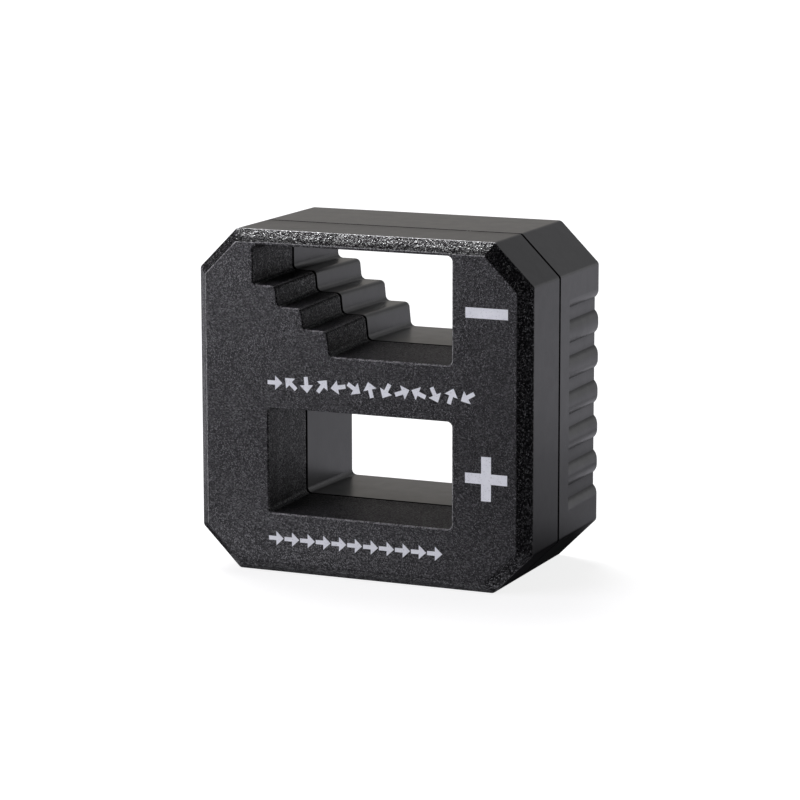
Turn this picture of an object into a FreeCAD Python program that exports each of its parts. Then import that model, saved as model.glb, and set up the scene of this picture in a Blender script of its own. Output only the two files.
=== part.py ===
"""A pocket magnetiser and demagnetiser for screwdriver blades.

Two moulded half housings are pinned and welded together around block magnets and steel plates.
A blade pushed through the lower, rectangular window is magnetised. A blade drawn down the steps
of the upper window is demagnetised.

Millimetres and degrees. +X runs across the face, +Y from the face to the back, +Z up. The origin
is at the middle of the foot, on the surface that the block stands on.
"""

import FreeCAD, Part
import math
import os

os.makedirs("parts", exist_ok=True)
V = FreeCAD.Vector

# ---- The block as a whole
width = 52.0
height = 50.3
depth = 28.4
front_housing_depth = 11.8
corner_leg = 5.95
corner_round = 0.7
face_corner_round = 0.3
face_bevel_width = 1.76
face_bevel_depth = 1.96
face_edge_round = 0.25
back_edge_round = 0.6

# ---- The bars of plastic around and between the two windows
base_bar = 9.15
middle_bar = 8.04
top_bar = 2.0
side_column = 11.62
stepped_window_column = 9.36

# ---- The windows: narrowest at the parting plane, and a little wider again at the back.
# Each pair is how far the upright walls, then the floors and ceilings, stand in from the outline
# at the face.
plain_waist = (0.48, 0.6)
plain_back = (0.5, 0.28)
stepped_waist = (0.75, 0.65)
stepped_back = (0.6, 0.33)
window_corner_round = 0.8
window_rim_round = 0.25
step_count = 3
first_tread = 3.63
step_run = 4.04
first_tread_drop = 5.83
last_rise_extra = 0.58
riser_lean = 0.1

# ---- Moulding: walls, ribs, pins and the lip between the halves
side_wall = 2.0
face_wall = 2.2
back_wall = 2.2
window_wall = 1.6
rib = 1.2
stop_height = 2.0
fit = 0.1
parting_gap = 0.45
parting_gap_depth = 0.6
parting_break = 0.1
lip_thickness = 0.9
lip_height = 1.0
pin_radius = 1.0
pin_length = 4.0
pin_play = 0.05
boss_radius = 1.9
boss_gap = 0.4
lower_pin_drop = 1.3
plate_rib_offset = 8.0

# ---- Grip grooves on both sides of the rear housing
groove_count = 6
groove_pitch = 5.24
groove_depth = 0.75
groove_floor = 1.86
groove_start = 4.15
crest_step = 0.02

# ---- Magnets and steel
steel = 1.5
magnet_end_gap = 0.275

# ---- Print on the face
ink = 0.03
mark_shift = 0.33
mark_length = 6.4
mark_stroke = 1.5
arrow_length = 2.35
arrow_shaft = 0.62
arrow_head_width = 2.1
arrow_head_length = 1.15
arrow_pitch = 2.5
extra_arrows = 2
scatter_turn = 137.5
legend_drop = 0.3

# ---- Places worked out from the sizes above
face_y = -depth / 2
back_y = depth / 2
parting_y = face_y + front_housing_depth
rear_rim_y = parting_y + parting_gap
front_floor_y = face_y + face_wall
back_floor_y = back_y - back_wall

window_height = (height - base_bar - middle_bar - top_bar) / 2
window_right = width / 2 - side_column
lower_floor_z = base_bar
lower_top_z = lower_floor_z + window_height
lower_middle_z = lower_floor_z + window_height / 2
upper_floor_z = lower_top_z + middle_bar
upper_top_z = upper_floor_z + window_height
upper_middle_z = upper_floor_z + window_height / 2
bar_middle_z = lower_top_z + middle_bar / 2
stepped_left = stepped_window_column - width / 2
mark_x = (window_right + width / 2 - face_bevel_width) / 2 + mark_shift
magnetise_arrows = int(2 * window_right / arrow_pitch)
demagnetise_arrows = magnetise_arrows + extra_arrows

sleeve_x = window_right + window_wall
yoke_back_x = width / 2 - side_wall - fit
magnet_back_x = yoke_back_x - steel
magnet_front_x = sleeve_x + fit
magnet_low_z = lower_floor_z + magnet_end_gap
magnet_high_z = lower_top_z - magnet_end_gap
magnet_front_y = front_floor_y + stop_height
magnet_back_y = back_floor_y - stop_height
plate_low_z = bar_middle_z - steel / 2
plate_high_z = bar_middle_z + steel / 2
inner_corner = width / 2 + height - corner_leg - math.sqrt(2) * (side_wall + fit)
keeper_high_z = inner_corner - yoke_back_x
keeper_low_z = upper_floor_z
yoke_corner = width / 2 - corner_leg - math.sqrt(2) * (side_wall + fit + steel)


# ---- Outlines, as (x, z) points taken anticlockwise when seen from the face


def block_outline(inset):
    """The block's eight-sided outline, moved inwards by inset."""
    x = width / 2
    points = [
        (-x + corner_leg, 0),
        (x - corner_leg, 0),
        (x, corner_leg),
        (x, height - corner_leg),
        (x - corner_leg, height),
        (-x + corner_leg, height),
        (-x, height - corner_leg),
        (-x, corner_leg),
    ]
    return moved_outline(points, -inset, -inset)


def plain_window(inset_x, inset_z):
    """The lower window's outline at the face, moved inwards by the two insets."""
    points = [
        (-window_right, lower_floor_z),
        (window_right, lower_floor_z),
        (window_right, lower_top_z),
        (-window_right, lower_top_z),
    ]
    return moved_outline(points, -inset_x, -inset_z)


def stepped_window(inset_x, inset_z):
    """The upper window's outline at the face, with its steps down from the left, moved inwards."""
    step_rise = (window_height - first_tread_drop - last_rise_extra) / step_count
    points = [
        (window_right, upper_floor_z),
        (window_right, upper_top_z),
        (stepped_left, upper_top_z),
    ]
    x = stepped_left
    z = upper_top_z - first_tread_drop
    points.append((x, z))
    x += first_tread
    for step in range(step_count):
        last = step == step_count - 1
        next_z = upper_floor_z if last else z - step_rise
        points.append((x, z))
        points.append((x + riser_lean * (z - next_z), next_z))
        x += step_run
        z = next_z
    return moved_outline(points, -inset_x, -inset_z)


def moved_outline(points, grow_x, grow_z):
    """The outline with its edges moved outwards: by grow_x if upright, by grow_z if level.

    A slanted edge moves by an amount between the two. Negative distances move the edges inwards.
    """
    moved = []
    for i, here in enumerate(points):
        to_here = direction(points[i - 1], here)
        from_here = direction(here, points[(i + 1) % len(points)])
        shift_in = moved_by(to_here, grow_x, grow_z)
        shift_out = moved_by(from_here, grow_x, grow_z)
        cross = to_here[0] * from_here[1] - to_here[1] * from_here[0]
        x = here[0] + (shift_out * to_here[0] - shift_in * from_here[0]) / cross
        z = here[1] + (shift_out * to_here[1] - shift_in * from_here[1]) / cross
        moved.append((x, z))
    return moved


def moved_by(along, grow_x, grow_z):
    """How far an edge with this direction moves outwards."""
    amount = math.hypot(grow_x * along[1], grow_z * along[0])
    return math.copysign(amount, grow_x)


def direction(start, end):
    """The unit vector from one (x, z) point to another."""
    dx = end[0] - start[0]
    dz = end[1] - start[1]
    length = math.hypot(dx, dz)
    return (dx / length, dz / length)


def rounded_wire(points, radius, y):
    """A closed wire in the plane at y through the points, with every corner rounded."""
    corners = []
    for i, here in enumerate(points):
        to_here = direction(points[i - 1], here)
        from_here = direction(here, points[(i + 1) % len(points)])
        cross = to_here[0] * from_here[1] - to_here[1] * from_here[0]
        dot = to_here[0] * from_here[0] + to_here[1] * from_here[1]
        turn = math.atan2(cross, dot)
        cut = radius * math.tan(abs(turn) / 2)
        side = math.copysign(1, turn)
        start = V(here[0] - cut * to_here[0], y, here[1] - cut * to_here[1])
        end = V(here[0] + cut * from_here[0], y, here[1] + cut * from_here[1])
        centre = start + V(-side * radius * to_here[1], 0, side * radius * to_here[0])
        bisector = V(here[0], y, here[1]) - centre
        middle = centre + bisector * (radius / bisector.Length)
        corners.append((start, middle, end))
    edges = []
    for i, (start, middle, end) in enumerate(corners):
        edges.append(Part.LineSegment(corners[i - 1][2], start).toShape())
        edges.append(Part.Arc(start, middle, end).toShape())
    return Part.Wire(edges)


# Each window's outline, and its insets at the parting plane and at the back
windows = (
    (plain_window, plain_waist, plain_back),
    (stepped_window, stepped_waist, stepped_back),
)


# ---- Solids


def slab(points, radius, y_low, y_high):
    """A straight prism along Y on a rounded outline."""
    face = Part.Face(rounded_wire(points, radius, y_low))
    return face.extrude(V(0, y_high - y_low, 0))


def taper(points_low, y_low, points_high, y_high, radius_low, radius_high):
    """A solid whose outline changes evenly from one plane to another along Y."""
    low = rounded_wire(points_low, radius_low, y_low)
    high = rounded_wire(points_high, radius_high, y_high)
    return Part.makeLoft([low, high], True, True)


def opening(window, insets_low, y_low, insets_high, y_high):
    """What is cut out of one housing to make its half of a window."""
    radius = window_corner_round
    return taper(window(*insets_low), y_low, window(*insets_high), y_high, radius, radius)


def brick(x_low, x_high, y_low, y_high, z_low, z_high):
    """A rectangular solid between two corners."""
    corner = V(x_low, y_low, z_low)
    return Part.makeBox(x_high - x_low, y_high - y_low, z_high - z_low, corner)


def both_sides(x_near, x_far, y_low, y_high, z_low, z_high):
    """Two mirrored bricks, one on each side of the middle."""
    right = brick(x_near, x_far, y_low, y_high, z_low, z_high)
    left = brick(-x_far, -x_near, y_low, y_high, z_low, z_high)
    return [left, right]


def post(x, z, radius, y_low, y_high):
    """A round post along Y."""
    return Part.makeCylinder(radius, y_high - y_low, V(x, y_low, z), V(0, 1, 0))


def edges_at(shape, y, wire):
    """The shape's edges that lie in the plane at y on the given outline wire."""
    found = []
    for edge in shape.Edges:
        middle = edge.valueAt((edge.FirstParameter + edge.LastParameter) / 2)
        in_plane = all(abs(v.Y - y) < 1e-4 for v in edge.Vertexes) and abs(middle.y - y) < 1e-4
        if in_plane and Part.Vertex(middle).distToShape(wire)[0] < 1e-3:
            found.append(edge)
    return found


# ---- The room inside the housings, and what stands in it


def pin_places():
    """Where the four locating pins stand, in the room's free corners.

    The lower two keep clear of the slanted stretch of the flux yoke.
    """
    reach = boss_radius + boss_gap
    lower_z = lower_floor_z - window_wall - lower_pin_drop
    lower_x = yoke_corner + lower_z - math.sqrt(2) * (boss_radius + fit)
    column_x = (width / 2 - side_wall + window_wall - stepped_left) / 2
    return [
        (-lower_x, lower_z),
        (lower_x, lower_z),
        (-column_x, upper_middle_z),
        (sleeve_x + reach, height - side_wall - reach),
    ]


def inside_room(y_low, y_high):
    """The space between the outer walls and the sleeves around the two windows."""
    inner_round = corner_round / 2
    room = slab(block_outline(side_wall), inner_round, y_low, y_high)
    for window in (plain_window, stepped_window):
        sleeve = slab(window(-window_wall, -window_wall), window_corner_round, y_low, y_high)
        room = room.cut(sleeve)
    return room


def ribs(y_low, y_high, stop_low, stop_high):
    """Ribs across the room: full ones from y_low to y_high, and stops for the magnets."""
    wall_x = width / 2
    shapes = []
    for z in (magnet_high_z + fit, magnet_low_z - fit - rib):
        shapes += both_sides(window_right, wall_x, y_low, y_high, z, z + rib)
    for z in (keeper_high_z + fit, keeper_low_z - fit - rib):
        shapes.append(brick(window_right, wall_x, y_low, y_high, z, z + rib))
    for x in (-plate_rib_offset, plate_rib_offset):
        shapes.append(brick(x - rib / 2, x + rib / 2, y_low, y_high, lower_top_z, upper_middle_z))
        shapes.append(brick(x - rib / 2, x + rib / 2, stop_low, stop_high, 0, lower_floor_z))
    middle = (lower_middle_z - rib / 2, lower_middle_z + rib / 2)
    shapes += both_sides(window_right, wall_x, stop_low, stop_high, *middle)
    keeper_middle_z = (keeper_low_z + keeper_high_z) / 2
    keeper_stop = (keeper_middle_z - rib / 2, keeper_middle_z + rib / 2)
    shapes.append(brick(window_right, wall_x, stop_low, stop_high, *keeper_stop))
    return shapes


def held_pieces():
    """Every magnet and steel plate inside, by node name."""
    magnet_y = (magnet_front_y, magnet_back_y)
    low_high = (magnet_low_z, magnet_high_z)
    left, right = both_sides(magnet_front_x, magnet_back_x, *magnet_y, *low_high)
    upper = (magnet_front_x, magnet_back_x, *magnet_y, keeper_low_z, keeper_high_z)
    keeper = (magnet_back_x, yoke_back_x, *magnet_y, keeper_low_z, keeper_high_z)
    plate = (-yoke_back_x, yoke_back_x, *magnet_y, plate_low_z, plate_high_z)
    return {
        "left_magnet": left,
        "right_magnet": right,
        "demagnetise_magnet": brick(*upper),
        "demagnetise_keeper": brick(*keeper),
        "shield_plate": brick(*plate),
        "flux_yoke": flux_yoke(0),
    }


def flux_yoke(play):
    """A steel strip bent round under the lower window, its arms behind the two magnets."""
    y_low = magnet_front_y - play
    y_high = magnet_back_y + play
    outside = side_wall + fit - play
    inside = side_wall + fit + steel + play
    strip = slab(block_outline(outside), corner_round + steel / 2, y_low, y_high)
    strip = strip.cut(slab(block_outline(inside), corner_round, y_low, y_high))
    keep = brick(-width, width, y_low, y_high, 0, magnet_high_z + play)
    return strip.common(keep)


def seats():
    """The room that the held pieces take, with a clearance all round each."""
    shapes = [flux_yoke(fit)]
    for name, piece in held_pieces().items():
        if name == "flux_yoke":
            continue
        box = piece.BoundBox
        x_range = (box.XMin - fit, box.XMax + fit)
        y_range = (box.YMin - fit, box.YMax + fit)
        shapes.append(brick(*x_range, *y_range, box.ZMin - fit, box.ZMax + fit))
    return shapes


def hollow(y_low, y_high, stop_low, stop_high):
    """What is taken out of one housing: its room, less its ribs and bosses, plus the seats."""
    space = inside_room(y_low, y_high)
    for shape in ribs(y_low, y_high, stop_low, stop_high):
        space = space.cut(shape)
    for x, z in pin_places():
        space = space.cut(post(x, z, boss_radius, y_low, y_high))
    limits = brick(-width, width, y_low, y_high, 0, height)
    for seat in seats():
        space = space.fuse(seat.common(limits))
    return space


def lip(play):
    """The ring that stands on the front housing's wall and locates the rear housing's."""
    y_high = parting_y + lip_height + play
    outside = block_outline(side_wall - lip_thickness - play)
    ring = slab(outside, corner_round, parting_y, y_high)
    inside = block_outline(side_wall + play)
    return ring.cut(slab(inside, corner_round / 2, parting_y, y_high))


def grip_profile(side):
    """The face that is cut out of one side: flat groove floors between rounded ridges."""
    wall_x = side * width / 2
    floor_x = side * (width / 2 - groove_depth)
    clear_x = wall_x + side * groove_depth
    half = groove_floor / 2
    top_z = height / 2 + groove_pitch * groove_count / 2
    edges = []
    for i in range(groove_count):
        middle_z = top_z - groove_pitch * (i + 0.5)
        high_step = crest_step if i == 0 else -crest_step
        low_step = crest_step if i == groove_count - 1 else -crest_step
        high_crest = V(wall_x + side * high_step, parting_y, middle_z + groove_pitch / 2)
        low_crest = V(wall_x + side * low_step, parting_y, middle_z - groove_pitch / 2)
        high_floor = V(floor_x, parting_y, middle_z + half)
        low_floor = V(floor_x, parting_y, middle_z - half)
        edges.append(ridge_flank(high_crest, high_floor))
        edges.append(Part.LineSegment(high_floor, low_floor).toShape())
        edges.append(ridge_flank(low_floor, low_crest))
        if i == 0:
            first = high_crest
        last = low_crest
    above = V(clear_x, parting_y, first.z)
    below = V(clear_x, parting_y, last.z)
    for start, end in ((last, below), (below, above), (above, first)):
        edges.append(Part.LineSegment(start, end).toShape())
    return Part.Face(Part.Wire(edges))


def ridge_flank(start, end):
    """An arc from a ridge's crest to a groove's floor, or back, upright at the crest."""
    crest, floor = (start, end) if abs(start.x) > abs(end.x) else (end, start)
    rise = abs(crest.x - floor.x)
    run = abs(crest.z - floor.z)
    radius = (rise * rise + run * run) / (2 * rise)
    side = math.copysign(1, crest.x)
    half_angle = math.asin(run / radius) / 2
    towards_floor = math.copysign(1, floor.z - crest.z)
    x = crest.x - side * radius * (1 - math.cos(half_angle))
    z = crest.z + towards_floor * radius * math.sin(half_angle)
    return Part.Arc(start, V(x, crest.y, z), end).toShape()


# ---- The two housings


def front_housing():
    """The front half: bevelled round its face, with the locating pins and the lip."""
    bevel_y = face_y + face_bevel_depth
    face_outline = block_outline(face_bevel_width)
    outline = block_outline(0)
    shell = taper(face_outline, face_y, outline, bevel_y, face_corner_round, corner_round)
    shell = shell.fuse(slab(outline, corner_round, bevel_y, parting_y)).removeSplitter()
    rims = (
        (face_y, rounded_wire(face_outline, face_corner_round, face_y)),
        (bevel_y, rounded_wire(outline, corner_round, bevel_y)),
    )
    for y, rim in rims:
        shell = shell.makeFillet(face_edge_round, edges_at(shell, y, rim))
    for window, waist, back in windows:
        shell = shell.cut(opening(window, (0, 0), face_y, waist, parting_y))
        rim = rounded_wire(window(0, 0), window_corner_round, face_y)
        shell = shell.makeFillet(window_rim_round, edges_at(shell, face_y, rim))
    shell = break_parting_edges(shell, parting_y)
    shell = shell.cut(hollow(front_floor_y, parting_y, front_floor_y, magnet_front_y - fit))
    shell = shell.fuse(lip(0))
    for x, z in pin_places():
        shell = shell.fuse(post(x, z, pin_radius, parting_y - fit, parting_y + pin_length))
    return shell.removeSplitter()


def rear_housing():
    """The rear half: straight sides with grip grooves, and the sockets for the pins.

    Its rim stands back from the parting plane, which leaves a fine dark gap once it is closed.
    """
    shell = slab(block_outline(0), corner_round, rear_rim_y, back_y)
    seat = slab(block_outline(parting_gap_depth), corner_round, parting_y, rear_rim_y)
    shell = shell.fuse(seat)
    outline = rounded_wire(block_outline(0), corner_round, back_y)
    shell = shell.makeFillet(back_edge_round, edges_at(shell, back_y, outline))
    for side in (-1, 1):
        profile = grip_profile(side)
        profile.translate(V(0, groove_start, 0))
        shell = shell.cut(profile.extrude(V(0, depth, 0)))
    for window, waist, back in windows:
        shell = shell.cut(opening(window, waist, rear_rim_y, back, back_y))
        gap_outline = window(waist[0] - parting_gap_depth, waist[1] - parting_gap_depth)
        shell = shell.cut(slab(gap_outline, window_corner_round, parting_y, rear_rim_y))
        rim = rounded_wire(window(*back), window_corner_round, back_y)
        shell = shell.makeFillet(window_rim_round, edges_at(shell, back_y, rim))
    shell = break_parting_edges(shell, rear_rim_y)
    shell = shell.cut(hollow(parting_y, back_floor_y, magnet_back_y + fit, back_floor_y))
    shell = shell.cut(lip(fit))
    for x, z in pin_places():
        socket_y = parting_y + pin_length + fit
        shell = shell.cut(post(x, z, pin_radius + pin_play, parting_y, socket_y))
    return shell.removeSplitter()


def break_parting_edges(shell, rim_y):
    """Small rounds on the outer edge and the window edges of a housing's rim."""
    outlines = [(block_outline(0), corner_round)]
    outlines += [(window(*waist), window_corner_round) for window, waist, back in windows]
    for points, radius in outlines:
        wire = rounded_wire(points, radius, rim_y)
        shell = shell.makeFillet(parting_break, edges_at(shell, rim_y, wire))
    return shell


# ---- Print


def printed(points):
    """A thin layer of ink on the face, on an outline of (x, z) points."""
    corners = [V(x, face_y, z) for x, z in points]
    face = Part.Face(Part.makePolygon(corners + corners[:1]))
    return face.extrude(V(0, -ink, 0))


def stroke(x, z, length, thickness):
    """A printed bar, centred on x and z."""
    dx = length / 2
    dz = thickness / 2
    return printed([(x - dx, z - dz), (x + dx, z - dz), (x + dx, z + dz), (x - dx, z + dz)])


def arrow(x, z, turn):
    """A printed arrow, centred on x and z, pointing along +X before it is turned."""
    tip = arrow_length / 2
    neck = tip - arrow_head_length
    shaft = arrow_shaft / 2
    barb = arrow_head_width / 2
    lower = [(-tip, -shaft), (neck, -shaft), (neck, -barb), (tip, 0)]
    upper = [(neck, barb), (neck, shaft), (-tip, shaft)]
    cosine = math.cos(math.radians(turn))
    sine = math.sin(math.radians(turn))
    points = [(x + u * cosine - v * sine, z + u * sine + v * cosine) for u, v in lower + upper]
    return printed(points)


def arrow_row(count, z, turn_step):
    """A row of arrows from the rectangular window's left edge, each turned from the last."""
    first_x = arrow_length / 2 - window_right
    arrows = [arrow(first_x + arrow_pitch * i, z, turn_step * i) for i in range(count)]
    return Part.makeCompound(arrows)


def prints():
    """The signs beside the windows and the legends under them, by node name."""
    across = stroke(mark_x, lower_middle_z, mark_length, mark_stroke)
    upright = stroke(mark_x, lower_middle_z, mark_stroke, mark_length)
    legend_z = (face_bevel_width + lower_floor_z) / 2
    return {
        "minus_mark": stroke(mark_x, upper_middle_z, mark_length, mark_stroke),
        "plus_mark": across.fuse(upright).removeSplitter(),
        "magnetise_legend": arrow_row(magnetise_arrows, legend_z, 0),
        "demagnetise_legend": arrow_row(demagnetise_arrows, bar_middle_z - legend_drop, scatter_turn),
    }


nodes = {"front_housing": front_housing(), "rear_housing": rear_housing()}
nodes.update(held_pieces())
nodes.update(prints())
for name, shape in nodes.items():
    shape.exportStep("parts/" + name + ".step")
    print(name, len(shape.Solids), "solid(s),", round(shape.Volume, 1), "mm3, valid", shape.isValid())
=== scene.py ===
import math
import random

import bpy
from mathutils import Matrix, Vector


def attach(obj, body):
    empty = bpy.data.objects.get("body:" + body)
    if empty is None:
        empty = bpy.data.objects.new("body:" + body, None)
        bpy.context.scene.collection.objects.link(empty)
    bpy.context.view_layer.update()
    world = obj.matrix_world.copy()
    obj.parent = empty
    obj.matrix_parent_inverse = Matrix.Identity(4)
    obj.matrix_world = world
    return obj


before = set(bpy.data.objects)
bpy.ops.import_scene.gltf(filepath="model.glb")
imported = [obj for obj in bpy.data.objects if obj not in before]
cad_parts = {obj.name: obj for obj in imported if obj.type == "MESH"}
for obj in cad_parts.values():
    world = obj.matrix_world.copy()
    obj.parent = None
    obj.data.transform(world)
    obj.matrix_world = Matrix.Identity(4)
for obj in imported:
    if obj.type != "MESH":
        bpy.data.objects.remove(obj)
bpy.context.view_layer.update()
scene = bpy.context.scene

MM = 0.001

# ---- The block, in millimetres
HALF_WIDTH = 26.0
HALF_HEIGHT = 25.15
HALF_DEPTH = 14.2
CORNER_LEG = 5.95
PARTING_GAP_Y = -2.175

# ---- Moulding flash along the top, in millimetres: each run's start along X, and its length
FLASH_SEED = 7
FLASH_FOOT_Z = 49.7
FLASH_STEP = 0.22
FLASH_FEWEST_STEPS = 3
FLASH_END_HEIGHT = 0.1
FLASH_END_HALF_WIDTH = 0.02
FLASH_RUNS = ((-9.4, 1.9), (-6.9, 0.5), (-2.2, 0.9), (7.6, 0.4), (11.1, 1.7), (17.2, 0.8))

# ---- Floor: half sides in metres, and how far the sheen lies under the floor in millimetres
FLOOR_HALF_SIDE = 6.0
SHEEN_HALF_SIDE = 2.0
SHEEN_DROP = 0.2
SHEEN_COLOUR = (1.05, 1.04, 1.12, 1)
SHEEN_LEAST = 0.01

# ---- Camera: angles in degrees, and lengths in millimetres
CAMERA_AZIMUTH = 23.602
CAMERA_ELEVATION = 10.603
CAMERA_ROLL = -0.084
CAMERA_DISTANCE = 461.32
CAMERA_RIGHT = 5.9
CAMERA_UP = 1.65
CAMERA_LENS = 145.54

# ---- Studio: soft light from a few broad directions, as (direction, inner and outer angle, colour)
STUDIO_BASE = (0.02, 0.02, 0.022)
STUDIO_LIGHTS = (
    ((-0.39, 0.38, 0.84), 5, 25, (8.5, 8.5, 8.6)),
    ((-0.66, -0.60, 0.46), 14, 30, (2.4, 2.3, 2.6)),
    ((0.10, 0.85, 0.52), 12, 30, (0.36, 0.36, 0.37)),
    ((-0.50, 0.85, 0.15), 8, 28, (0.41, 0.39, 0.367)),
    ((0.42, 0.87, 0.20), 6, 24, (0.08, 0.08, 0.08)),
    ((0.42, 0.90, 0.07), 8, 18, (0.66, 0.66, 0.68)),
    ((0.64, -0.75, 0.18), 8, 24, (0.12, 0.12, 0.12)),
    ((0.68, 0.52, 0.52), 8, 24, (0.40, 0.40, 0.40)),
)

# ---- Plastic: colours, and the grain's sizes, with lengths in millimetres
FRONT_BASE = (0.0022, 0.0021, 0.0027)
REAR_BASE = (0.0025, 0.0025, 0.0027)
# EDGE_HIGHLIGHT_COLOUR is the colour of the painted highlight on the face's edges
EDGE_HIGHLIGHT_COLOUR = (0.8, 0.8, 0.8, 1)
DUST_COLOUR = (0.5, 0.5, 0.5, 1)
GRAIN_CELLS_PER_MM = 6.2
GRAIN_ROUGHNESS = 0.25
GRAIN_TILT = 0.3
GRAIN_BUMP = 0.4
# How far the painted crease shade looks for nearby surfaces, in millimetres
CREASE_SHADE_REACH = 1.0

# ---- Node helpers


class Graph:
    """A node tree that is built a node at a time. Inputs are numbers, colours or other sockets."""

    def __init__(self, tree):
        self.tree = tree
        tree.nodes.clear()

    def add(self, kind, inputs=None, output=0, **settings):
        made = self.tree.nodes.new(kind)
        for key, value in settings.items():
            setattr(made, key, value)
        for key, value in (inputs or {}).items():
            self.put(made.inputs[key], value)
        return made.outputs[output] if made.outputs else made

    def put(self, socket, value):
        if isinstance(value, bpy.types.NodeSocket):
            self.tree.links.new(value, socket)
        else:
            socket.default_value = value

    def math(self, operation, a, b=0.0, c=0.0):
        return self.add("ShaderNodeMath", {0: a, 1: b, 2: c}, operation=operation)

    def ramp(self, value, low, high, to_low=0.0, to_high=1.0):
        """A smooth step from to_low to to_high as value goes from low to high."""
        inputs = {"Value": value, "From Min": low, "From Max": high}
        inputs.update({"To Min": to_low, "To Max": to_high})
        return self.add("ShaderNodeMapRange", inputs, interpolation_type="SMOOTHSTEP")

    def mix(self, factor, a, b):
        """Blends two colours."""
        inputs = {"Factor": factor, "A": a, "B": b}
        made = self.tree.nodes.new("ShaderNodeMix")
        made.data_type = "RGBA"
        colour_sockets = {"Factor": made.inputs[0], "A": made.inputs[6], "B": made.inputs[7]}
        for key, socket in colour_sockets.items():
            self.put(socket, inputs[key])
        return made.outputs[2]

    def noise(self, vector, scale, detail=2.0, roughness=0.5, distortion=0.0):
        inputs = {
            "Vector": vector,
            "Scale": scale,
            "Detail": detail,
            "Roughness": roughness,
            "Distortion": distortion,
        }
        return self.add("ShaderNodeTexNoise", inputs)

    def axis(self, vector, axis):
        return self.add("ShaderNodeSeparateXYZ", {0: vector}, output=axis)

    def millimetres(self):
        """The point on the surface, in millimetres of the part's own frame."""
        point = self.add("ShaderNodeTexCoord", output="Object")
        return self.add("ShaderNodeVectorMath", {0: point, "Scale": 1000.0}, operation="SCALE")

    def normal(self):
        return self.add("ShaderNodeNewGeometry", output="Normal")


def new_material(name):
    material = bpy.data.materials.new(name)
    material.use_nodes = True
    return material, Graph(material.node_tree)


def finish_material(graph, shader):
    graph.add("ShaderNodeOutputMaterial", {"Surface": shader})


# ---- Materials


def edge_depth(g, p):
    """How far a point is inside the block's eight-sided outline, in millimetres."""
    x = g.math("ABSOLUTE", g.axis(p, 0))
    z = g.math("ABSOLUTE", g.math("SUBTRACT", g.axis(p, 2), HALF_HEIGHT))
    across = g.math("SUBTRACT", HALF_WIDTH, x)
    along = g.math("SUBTRACT", HALF_HEIGHT, z)
    slant = g.math("SUBTRACT", HALF_WIDTH + HALF_HEIGHT - CORNER_LEG, g.math("ADD", x, z))
    slant = g.math("MULTIPLY", slant, math.sqrt(0.5))
    return g.math("MINIMUM", slant, g.math("MINIMUM", across, along))


def painted_edge_highlights(g, n, facing):
    """Painted highlight on the rounds at the face bevel's outer edge, and at its inner edge and
    window mouths, where they face up or up and left.
    """
    up = g.axis(n, 2)
    outer = g.math("MULTIPLY", g.ramp(facing, 0.03, 0.15), g.ramp(facing, 0.64, 0.5))
    outer = g.math("MULTIPLY", outer, g.ramp(up, 0.72, 0.86, 0.05, 1.0))
    inner = g.math("MULTIPLY", g.ramp(facing, 0.70, 0.76), g.ramp(facing, 0.97, 0.9))
    left_up = g.math("SUBTRACT", up, g.axis(n, 0))
    inner = g.math("MULTIPLY", inner, g.ramp(left_up, 0.1, 0.45, 0.0, 0.5))
    return g.math("MAXIMUM", outer, inner)


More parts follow.
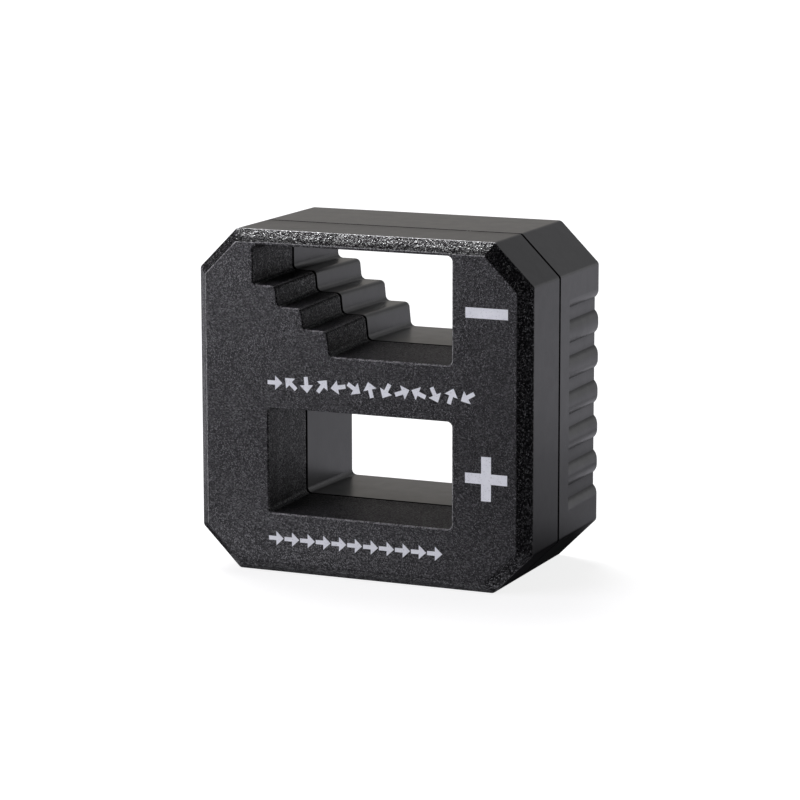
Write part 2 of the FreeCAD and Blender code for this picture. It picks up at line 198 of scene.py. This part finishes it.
def plastic(name, base, grain_side, window_grain, satin_rough, satin_gloss, edge_highlight, gap_shade):
    """Black moulded plastic: spark-eroded grain on faces turned to grain_side, satin elsewhere.

    The walls of the windows have window_grain as their share of the grain. Both sides of the
    parting gap get painted shade as dimmer reflections, sink is how much painted shade dims the
    top's reflection towards the gap, and edge_highlight is how bright the painted highlight on the
    face's edges is. Reflections also get painted shade in creases and inside the windows.
    """
    material, g = new_material(name)
    p = g.millimetres()
    n = g.normal()
    facing = g.math("MULTIPLY", g.axis(n, 1), grain_side)
    on_face = g.ramp(facing, 0.3, 0.55)
    in_window = g.ramp(edge_depth(g, p), 0.9, 1.2, 0.0, window_grain)
    grained = g.math("MAXIMUM", on_face, in_window)

    cells = {"Vector": p, "Scale": GRAIN_CELLS_PER_MM}
    crater = g.add("ShaderNodeTexVoronoi", cells, output="Distance")
    cell = g.add("ShaderNodeTexVoronoi", cells, output="Color")
    facet = g.axis(cell, 0)
    coarse = g.noise(p, 3.2, 2.0, 0.6)
    patches = g.noise(p, 0.11, 2.0, 0.5)
    satin = g.noise(p, 2.6, 3.0, 0.55)
    flow = g.noise(p, 0.35, 3.0, 0.6, 0.6)

    pits = g.math("ADD", g.math("MULTIPLY", coarse, 0.2), g.math("MULTIPLY", crater, 0.1))
    grain_height = g.math("MULTIPLY", pits, grained)
    satin_height = g.math("MULTIPLY", satin, 0.02)
    height = g.math("ADD", grain_height, satin_height)
    bump = g.add("ShaderNodeBump", {"Strength": 1.0, "Distance": GRAIN_BUMP * MM, "Height": height})
    tilt = g.add("ShaderNodeVectorMath", {0: cell, 1: (0.5, 0.5, 0.5)}, operation="SUBTRACT")
    tilt_size = g.math("MULTIPLY", grained, GRAIN_TILT)
    tilt = g.add("ShaderNodeVectorMath", {0: tilt, "Scale": tilt_size}, operation="SCALE")
    bump = g.add("ShaderNodeVectorMath", {0: bump, 1: tilt}, operation="ADD")
    bump = g.add("ShaderNodeVectorMath", {0: bump}, operation="NORMALIZE")

    dull = tuple(c * 0.7 for c in base)
    light = tuple(c * 2.5 for c in base)
    colour = g.mix(g.ramp(patches, 0.3, 0.7), (*dull, 1), (*base, 1))
    glint = g.math("MULTIPLY", g.ramp(facet, 0.55, 0.9), grained)
    colour = g.mix(glint, colour, (*light, 1))
    # Painted highlight: pale colour on the face's edge rounds, broken up by noise
    highlight_breaks = g.ramp(g.noise(p, 3.5, 2.0, 0.6), 0.38, 0.58, 0.2, 1.0)
    edge_highlight_mask = g.math("MULTIPLY", g.math("MULTIPLY", painted_edge_highlights(g, n, facing), highlight_breaks), edge_highlight)
    colour = g.mix(edge_highlight_mask, colour, EDGE_HIGHLIGHT_COLOUR)
    dust = g.add("ShaderNodeTexVoronoi", {"Vector": p, "Scale": 0.3}, output="Distance")
    colour = g.mix(g.ramp(dust, 0.03, 0.02, 0.0, 0.12), colour, DUST_COLOUR)

    facet_gloss = g.math("MULTIPLY_ADD", g.math("MULTIPLY", facet, facet), 1.9, 0.33)
    seams = g.ramp(crater, 0.35, 0.75, 1.0, 0.5)
    on_bevel = g.ramp(facing, 0.9, 0.72, 1.0, 2.3)
    grain_gloss = g.math("POWER", g.math("MULTIPLY", facet_gloss, seams), on_bevel)
    gloss = g.add("ShaderNodeMix", {0: grained, 2: satin_gloss, 3: grain_gloss})
    # Painted shade: reflections dim close to the parting gap, on both sides
    from_gap = g.math("ABSOLUTE", g.math("SUBTRACT", g.axis(p, 1), PARTING_GAP_Y))
    gloss = g.math("MULTIPLY", gloss, g.ramp(from_gap, 0.26, 0.42, 0.12, 1.0))
    # Painted shade: reflections dim in creases and corners, where ambient occlusion finds other
    # surfaces close by
    reach = {"Distance": CREASE_SHADE_REACH * MM}
    crease_shade_ao = g.add("ShaderNodeAmbientOcclusion", reach, output="AO", samples=4)
    gloss = g.math("MULTIPLY", gloss, g.ramp(crease_shade_ao, 0.78, 0.97, 0.3, 1.0))
    # Painted shade: on faces that look up, reflections dim over the last 4.5 mm before the parting
    # gap, by up to sink
    painted_gap_shade = g.math("MULTIPLY", g.ramp(from_gap, 4.5, 0.2, 0.0, gap_shade), g.ramp(g.axis(n, 2), 0.9, 1.0))
    gloss = g.math("MULTIPLY", gloss, g.math("SUBTRACT", 1.0, painted_gap_shade))
    # Painted shade: reflections dim inside the windows, most on floors and other faces that look up
    painted_window_shade = g.math("MULTIPLY", in_window, g.ramp(g.axis(n, 2), 0.3, 0.8, 0.25, 1.2))
    gloss = g.math("MULTIPLY", gloss, g.math("SUBTRACT", 1.0, painted_window_shade))
    rough_satin = g.ramp(flow, 0.25, 0.75, satin_rough - 0.02, satin_rough + 0.02)
    rough = g.add("ShaderNodeMix", {0: on_face, 2: rough_satin, 3: GRAIN_ROUGHNESS})
    rough = g.math("ADD", rough, g.math("MULTIPLY", in_window, 0.2))
    shader = g.add(
        "ShaderNodeBsdfPrincipled",
        {
            "Base Color": colour,
            "Roughness": rough,
            "IOR": 1.5,
            "Specular IOR Level": gloss,
            "Normal": bump,
        },
    )
    finish_material(g, shader)
    return material


def printed_ink():
    """White pad-printed ink, thin enough that the grain shows through as dark pinholes."""
    material, g = new_material("white_ink")
    p = g.millimetres()
    coarse = g.noise(p, 4.2, 2.5, 0.62)
    cloud = g.noise(p, 0.6, 3.0, 0.6)
    pinholes = g.ramp(coarse, 0.34, 0.42, 1.0, 0.0)
    white = g.mix(cloud, (0.58, 0.595, 0.64, 1), (0.75, 0.76, 0.81, 1))
    colour = g.mix(g.math("MULTIPLY", pinholes, 0.35), white, (0.2, 0.2, 0.23, 1))
    bump = g.add("ShaderNodeBump", {"Strength": 1.0, "Distance": 0.012 * MM, "Height": coarse})
    rough = g.ramp(cloud, 0.2, 0.8, 0.5, 0.65)
    shader = g.add(
        "ShaderNodeBsdfPrincipled",
        {"Base Color": colour, "Roughness": rough, "IOR": 1.45, "Normal": bump},
    )
    finish_material(g, shader)
    return material


def ferrite():
    """Sintered ferrite: dark grey, matt, with ground faces and small pores."""
    material, g = new_material("ferrite")
    p = g.millimetres()
    grit = g.noise(p, 6.0, 4.0, 0.65)
    pores = g.ramp(g.noise(p, 2.2, 2.0, 0.7), 0.24, 0.3, 1.0, 0.0)
    colour = g.mix(grit, (0.03, 0.03, 0.032, 1), (0.075, 0.075, 0.08, 1))
    colour = g.mix(pores, colour, (0.012, 0.012, 0.012, 1))
    height = g.math("SUBTRACT", grit, pores)
    bump = g.add("ShaderNodeBump", {"Strength": 0.8, "Distance": 0.02 * MM, "Height": height})
    rough = g.ramp(grit, 0.3, 0.7, 0.55, 0.75)
    shader = g.add(
        "ShaderNodeBsdfPrincipled",
        {"Base Color": colour, "Roughness": rough, "Metallic": 0.2, "Normal": bump},
    )
    finish_material(g, shader)
    return material


def plated_steel():
    """Zinc-plated mild steel strip, rolled along its length and faintly blue."""
    material, g = new_material("zinc_plated_steel")
    p = g.millimetres()
    stretched = g.add("ShaderNodeVectorMath", {0: p, 1: (0.25, 6.0, 0.25)}, operation="MULTIPLY")
    rolled = g.noise(stretched, 1.4, 4.0, 0.6)
    spangle = g.add("ShaderNodeTexVoronoi", {"Vector": p, "Scale": 0.8}, output="Distance")
    colour = g.mix(rolled, (0.5, 0.51, 0.53, 1), (0.66, 0.67, 0.7, 1))
    bump = g.add("ShaderNodeBump", {"Strength": 0.6, "Distance": 0.008 * MM, "Height": rolled})
    rough = g.ramp(spangle, 0.0, 0.8, 0.28, 0.42)
    shader = g.add(
        "ShaderNodeBsdfPrincipled",
        {"Base Color": colour, "Roughness": rough, "Metallic": 1.0, "Normal": bump},
    )
    finish_material(g, shader)
    return material


materials = {
    "face_plastic": plastic("face_plastic", FRONT_BASE, -1.0, 0.6, 0.34, 0.41, 0.9, 0.5),
    "rear_plastic": plastic("rear_plastic", REAR_BASE, 1.0, 0.0, 0.32, 0.5, 0.0, 0.0),
    "white_ink": printed_ink(),
    "ferrite": ferrite(),
    "zinc_plated_steel": plated_steel(),
}
for cad_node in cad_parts.values():
    for slot in cad_node.material_slots:
        slot.material = materials[slot.material.name.split(".")[0]]


# ---- Moulding flash


def whitened_plastic():
    """Thin flash that has whitened where it tore."""
    material, g = new_material("whitened_flash")
    p = g.millimetres()
    torn = g.noise(p, 5.0, 3.0, 0.6)
    colour = g.mix(torn, (0.12, 0.12, 0.12, 1), (0.55, 0.54, 0.53, 1))
    bump = g.add("ShaderNodeBump", {"Strength": 1.0, "Distance": 0.03 * MM, "Height": torn})
    inputs = {"Base Color": colour, "Roughness": g.ramp(torn, 0.3, 0.7, 0.4, 0.6), "Normal": bump}
    finish_material(g, g.add("ShaderNodeBsdfPrincipled", inputs))
    return material


def make_flash():
    """Torn slivers of flash that stand up in the parting gap along the top."""
    chance = random.Random(FLASH_SEED)
    verts, faces = [], []
    for start, length in FLASH_RUNS:
        steps = max(FLASH_FEWEST_STEPS, round(length / FLASH_STEP))
        first = len(verts)
        for i in range(steps + 1):
            x = start + length * i / steps
            end = i in (0, steps)
            crest = FLASH_FOOT_Z + (FLASH_END_HEIGHT if end else chance.uniform(0.42, 0.59))
            y = PARTING_GAP_Y + chance.uniform(-0.03, 0.03)
            half = FLASH_END_HALF_WIDTH if end else chance.uniform(0.08, 0.18)
            verts += [(x, y - half, FLASH_FOOT_Z), (x, y + half, FLASH_FOOT_Z)]
            verts += [(x, y + half * 0.9, crest), (x, y - half * 0.9, crest)]
        for i in range(steps):
            here = first + 4 * i
            for side in range(4):
                after = (side + 1) % 4
                faces.append((here + side, here + 4 + side, here + 4 + after, here + after))
        faces.append((first, first + 1, first + 2, first + 3))
        last = first + 4 * steps
        faces.append((last + 3, last + 2, last + 1, last))
    mesh = bpy.data.meshes.new("parting_flash")
    mesh.from_pydata([(x * MM, y * MM, z * MM) for x, y, z in verts], [], faces)
    mesh.materials.append(whitened_plastic())
    flash = bpy.data.objects.new("parting_flash", mesh)
    scene.collection.objects.link(flash)
    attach(flash, "root")


make_flash()


# ---- Floor


def level_square(name, half_side, z):
    """A level square in the middle of the scene, in metres."""
    mesh = bpy.data.meshes.new(name)
    sides = ((-1, -1), (1, -1), (1, 1), (-1, 1))
    mesh.from_pydata([(x * half_side, y * half_side, z) for x, y in sides], [], [(0, 1, 2, 3)])
    square = bpy.data.objects.new(name, mesh)
    scene.collection.objects.link(square)
    return square


def make_floor():
    """The pale floor that the camera sees. Shiny surfaces see the sheen under it instead."""
    floor = level_square("floor", FLOOR_HALF_SIDE, 0)
    material, g = new_material("pale_floor")
    p = g.millimetres()
    cloud = g.noise(p, 0.004, 2.0, 0.5)
    colour = g.mix(cloud, (0.33, 0.33, 0.335, 1), (0.37, 0.37, 0.37, 1))
    inputs = {"Base Color": colour, "Roughness": 0.9, "Specular IOR Level": 0.1}
    inputs["Emission Color"] = (1.0, 1.0, 1.0, 1)
    inputs["Emission Strength"] = 0.84
    finish_material(g, g.add("ShaderNodeBsdfPrincipled", inputs))
    floor.data.materials.append(material)
    floor.visible_glossy = False


def make_floor_sheen():
    """What shiny surfaces see of the floor, which the camera and the diffuse light don't see.

    The sheen is a painted reflection of the floor: brightest far in front on the left, where the
    face looks, dimmest on the right, and dark close round the block's footprint as a painted
    shadow. Each named part below is the brightness of one region, in millimetres of the floor.
    """
    sheen = level_square("floor_sheen", SHEEN_HALF_SIDE, -SHEEN_DROP * MM)
    material, g = new_material("floor_sheen")
    p = g.millimetres()
    x = g.axis(p, 0)
    y = g.axis(p, 1)
    step = g.math("MAXIMUM", g.ramp(y, 75.0, 105.0), g.ramp(x, 45.0, 25.0))
    behind = g.math("MULTIPLY", g.ramp(y, -20.0, 50.0), g.math("MULTIPLY_ADD", step, 0.33, 0.32))

    left = g.math("MULTIPLY", g.ramp(x, -28.0, -72.0), g.ramp(y, -70.0, -40.0, 0.1, 0.45))

    foot = g.math("MULTIPLY", g.ramp(y, -48.0, -24.0), g.ramp(x, 25.0, -15.0, 0.6, 1.5))
    foot = g.math("MULTIPLY", foot, g.ramp(y, -14.5, -16.5))
    foot = g.math("MULTIPLY", foot, g.ramp(x, 32.0, 24.0))

    slant = g.math("MULTIPLY_ADD", y, -0.44, x)
    front = g.math("MULTIPLY", g.ramp(slant, 22.0, -6.0), g.ramp(x, 20.0, 10.0))
    front = g.math("MULTIPLY", front, g.ramp(y, -100.0, -135.0, 0.1, 5.4))

    right = g.math("MULTIPLY", g.ramp(x, 85.0, 60.0), g.ramp(x, 20.0, 35.0))
    right = g.math("MULTIPLY", right, g.ramp(y, -25.0, -45.0, 0.0, 0.15))

    # Painted shadow: the sheen fades to dark close round the block's footprint
    away = edge_distance(g, p)
    lit = g.math("MAXIMUM", g.math("MAXIMUM", behind, left), g.math("MAXIMUM", front, right))
    lit = g.math("MULTIPLY", lit, g.ramp(away, 2.0, 30.0))
    lit = g.math("MAXIMUM", lit, g.math("MULTIPLY", foot, g.ramp(away, 1.5, 4.0)))
    under_front = g.math("MULTIPLY", g.ramp(y, -9.0, -12.0), g.ramp(y, -15.2, -14.6, 0.0, 0.33))
    lit = g.math("MAXIMUM", lit, under_front)
    strength = g.math("MAXIMUM", lit, SHEEN_LEAST)
    shader = g.add("ShaderNodeEmission", {"Color": SHEEN_COLOUR, "Strength": strength})
    finish_material(g, shader)
    sheen.data.materials.append(material)
    sheen.visible_camera = False
    sheen.visible_diffuse = False
    sheen.visible_shadow = False


def edge_distance(g, p):
    """How far a point of the floor is outside the block's footprint, in millimetres."""
    x = g.math("MAXIMUM", g.math("SUBTRACT", g.math("ABSOLUTE", g.axis(p, 0)), HALF_WIDTH), 0.0)
    y = g.math("MAXIMUM", g.math("SUBTRACT", g.math("ABSOLUTE", g.axis(p, 1)), HALF_DEPTH), 0.0)
    return g.math("SQRT", g.math("ADD", g.math("MULTIPLY", x, x), g.math("MULTIPLY", y, y)))


make_floor()
make_floor_sheen()


# ---- Studio light


def make_world():
    world = bpy.data.worlds.new("studio")
    world.use_nodes = True
    scene.world = world
    g = Graph(world.node_tree)
    direction = g.add("ShaderNodeTexCoord", output="Generated")
    total = None
    for towards, inner, outer, colour in STUDIO_LIGHTS:
        inputs = {0: direction, 1: Vector(towards).normalized()}
        aligned = g.add("ShaderNodeVectorMath", inputs, operation="DOT_PRODUCT", output="Value")
        amount = g.ramp(aligned, math.cos(math.radians(outer)), math.cos(math.radians(inner)))
        light = g.add("ShaderNodeVectorMath", {0: colour, "Scale": amount}, operation="SCALE")
        if total is None:
            total = light
        else:
            total = g.add("ShaderNodeVectorMath", {0: total, 1: light}, operation="ADD")
    total = g.add("ShaderNodeVectorMath", {0: total, 1: STUDIO_BASE}, operation="ADD")
    background = g.add("ShaderNodeBackground", {"Color": total, "Strength": 1.0})
    g.add("ShaderNodeOutputWorld", {"Surface": background})


make_world()
scene.view_settings.view_transform = "Standard"


# ---- Camera


def make_camera():
    azimuth, elevation, roll = map(math.radians, (CAMERA_AZIMUTH, CAMERA_ELEVATION, CAMERA_ROLL))
    flat = Vector((math.sin(azimuth), -math.cos(azimuth), 0))
    back = flat * math.cos(elevation) + Vector((0, 0, math.sin(elevation)))
    right = Vector((math.cos(azimuth), math.sin(azimuth), 0))
    up = back.cross(right)
    middle_of_face = Vector((0, -HALF_DEPTH, HALF_HEIGHT))
    place = middle_of_face + back * CAMERA_DISTANCE + right * CAMERA_RIGHT + up * CAMERA_UP
    turned_right = right * math.cos(roll) + up * math.sin(roll)
    turned_up = up * math.cos(roll) - right * math.sin(roll)
    data = bpy.data.cameras.new("camera")
    data.lens = CAMERA_LENS
    camera = bpy.data.objects.new("camera", data)
    turn = Matrix((turned_right, turned_up, back)).transposed().to_4x4()
    camera.matrix_world = Matrix.Translation(place * MM) @ turn
    scene.collection.objects.link(camera)
    scene.camera = camera


make_camera()
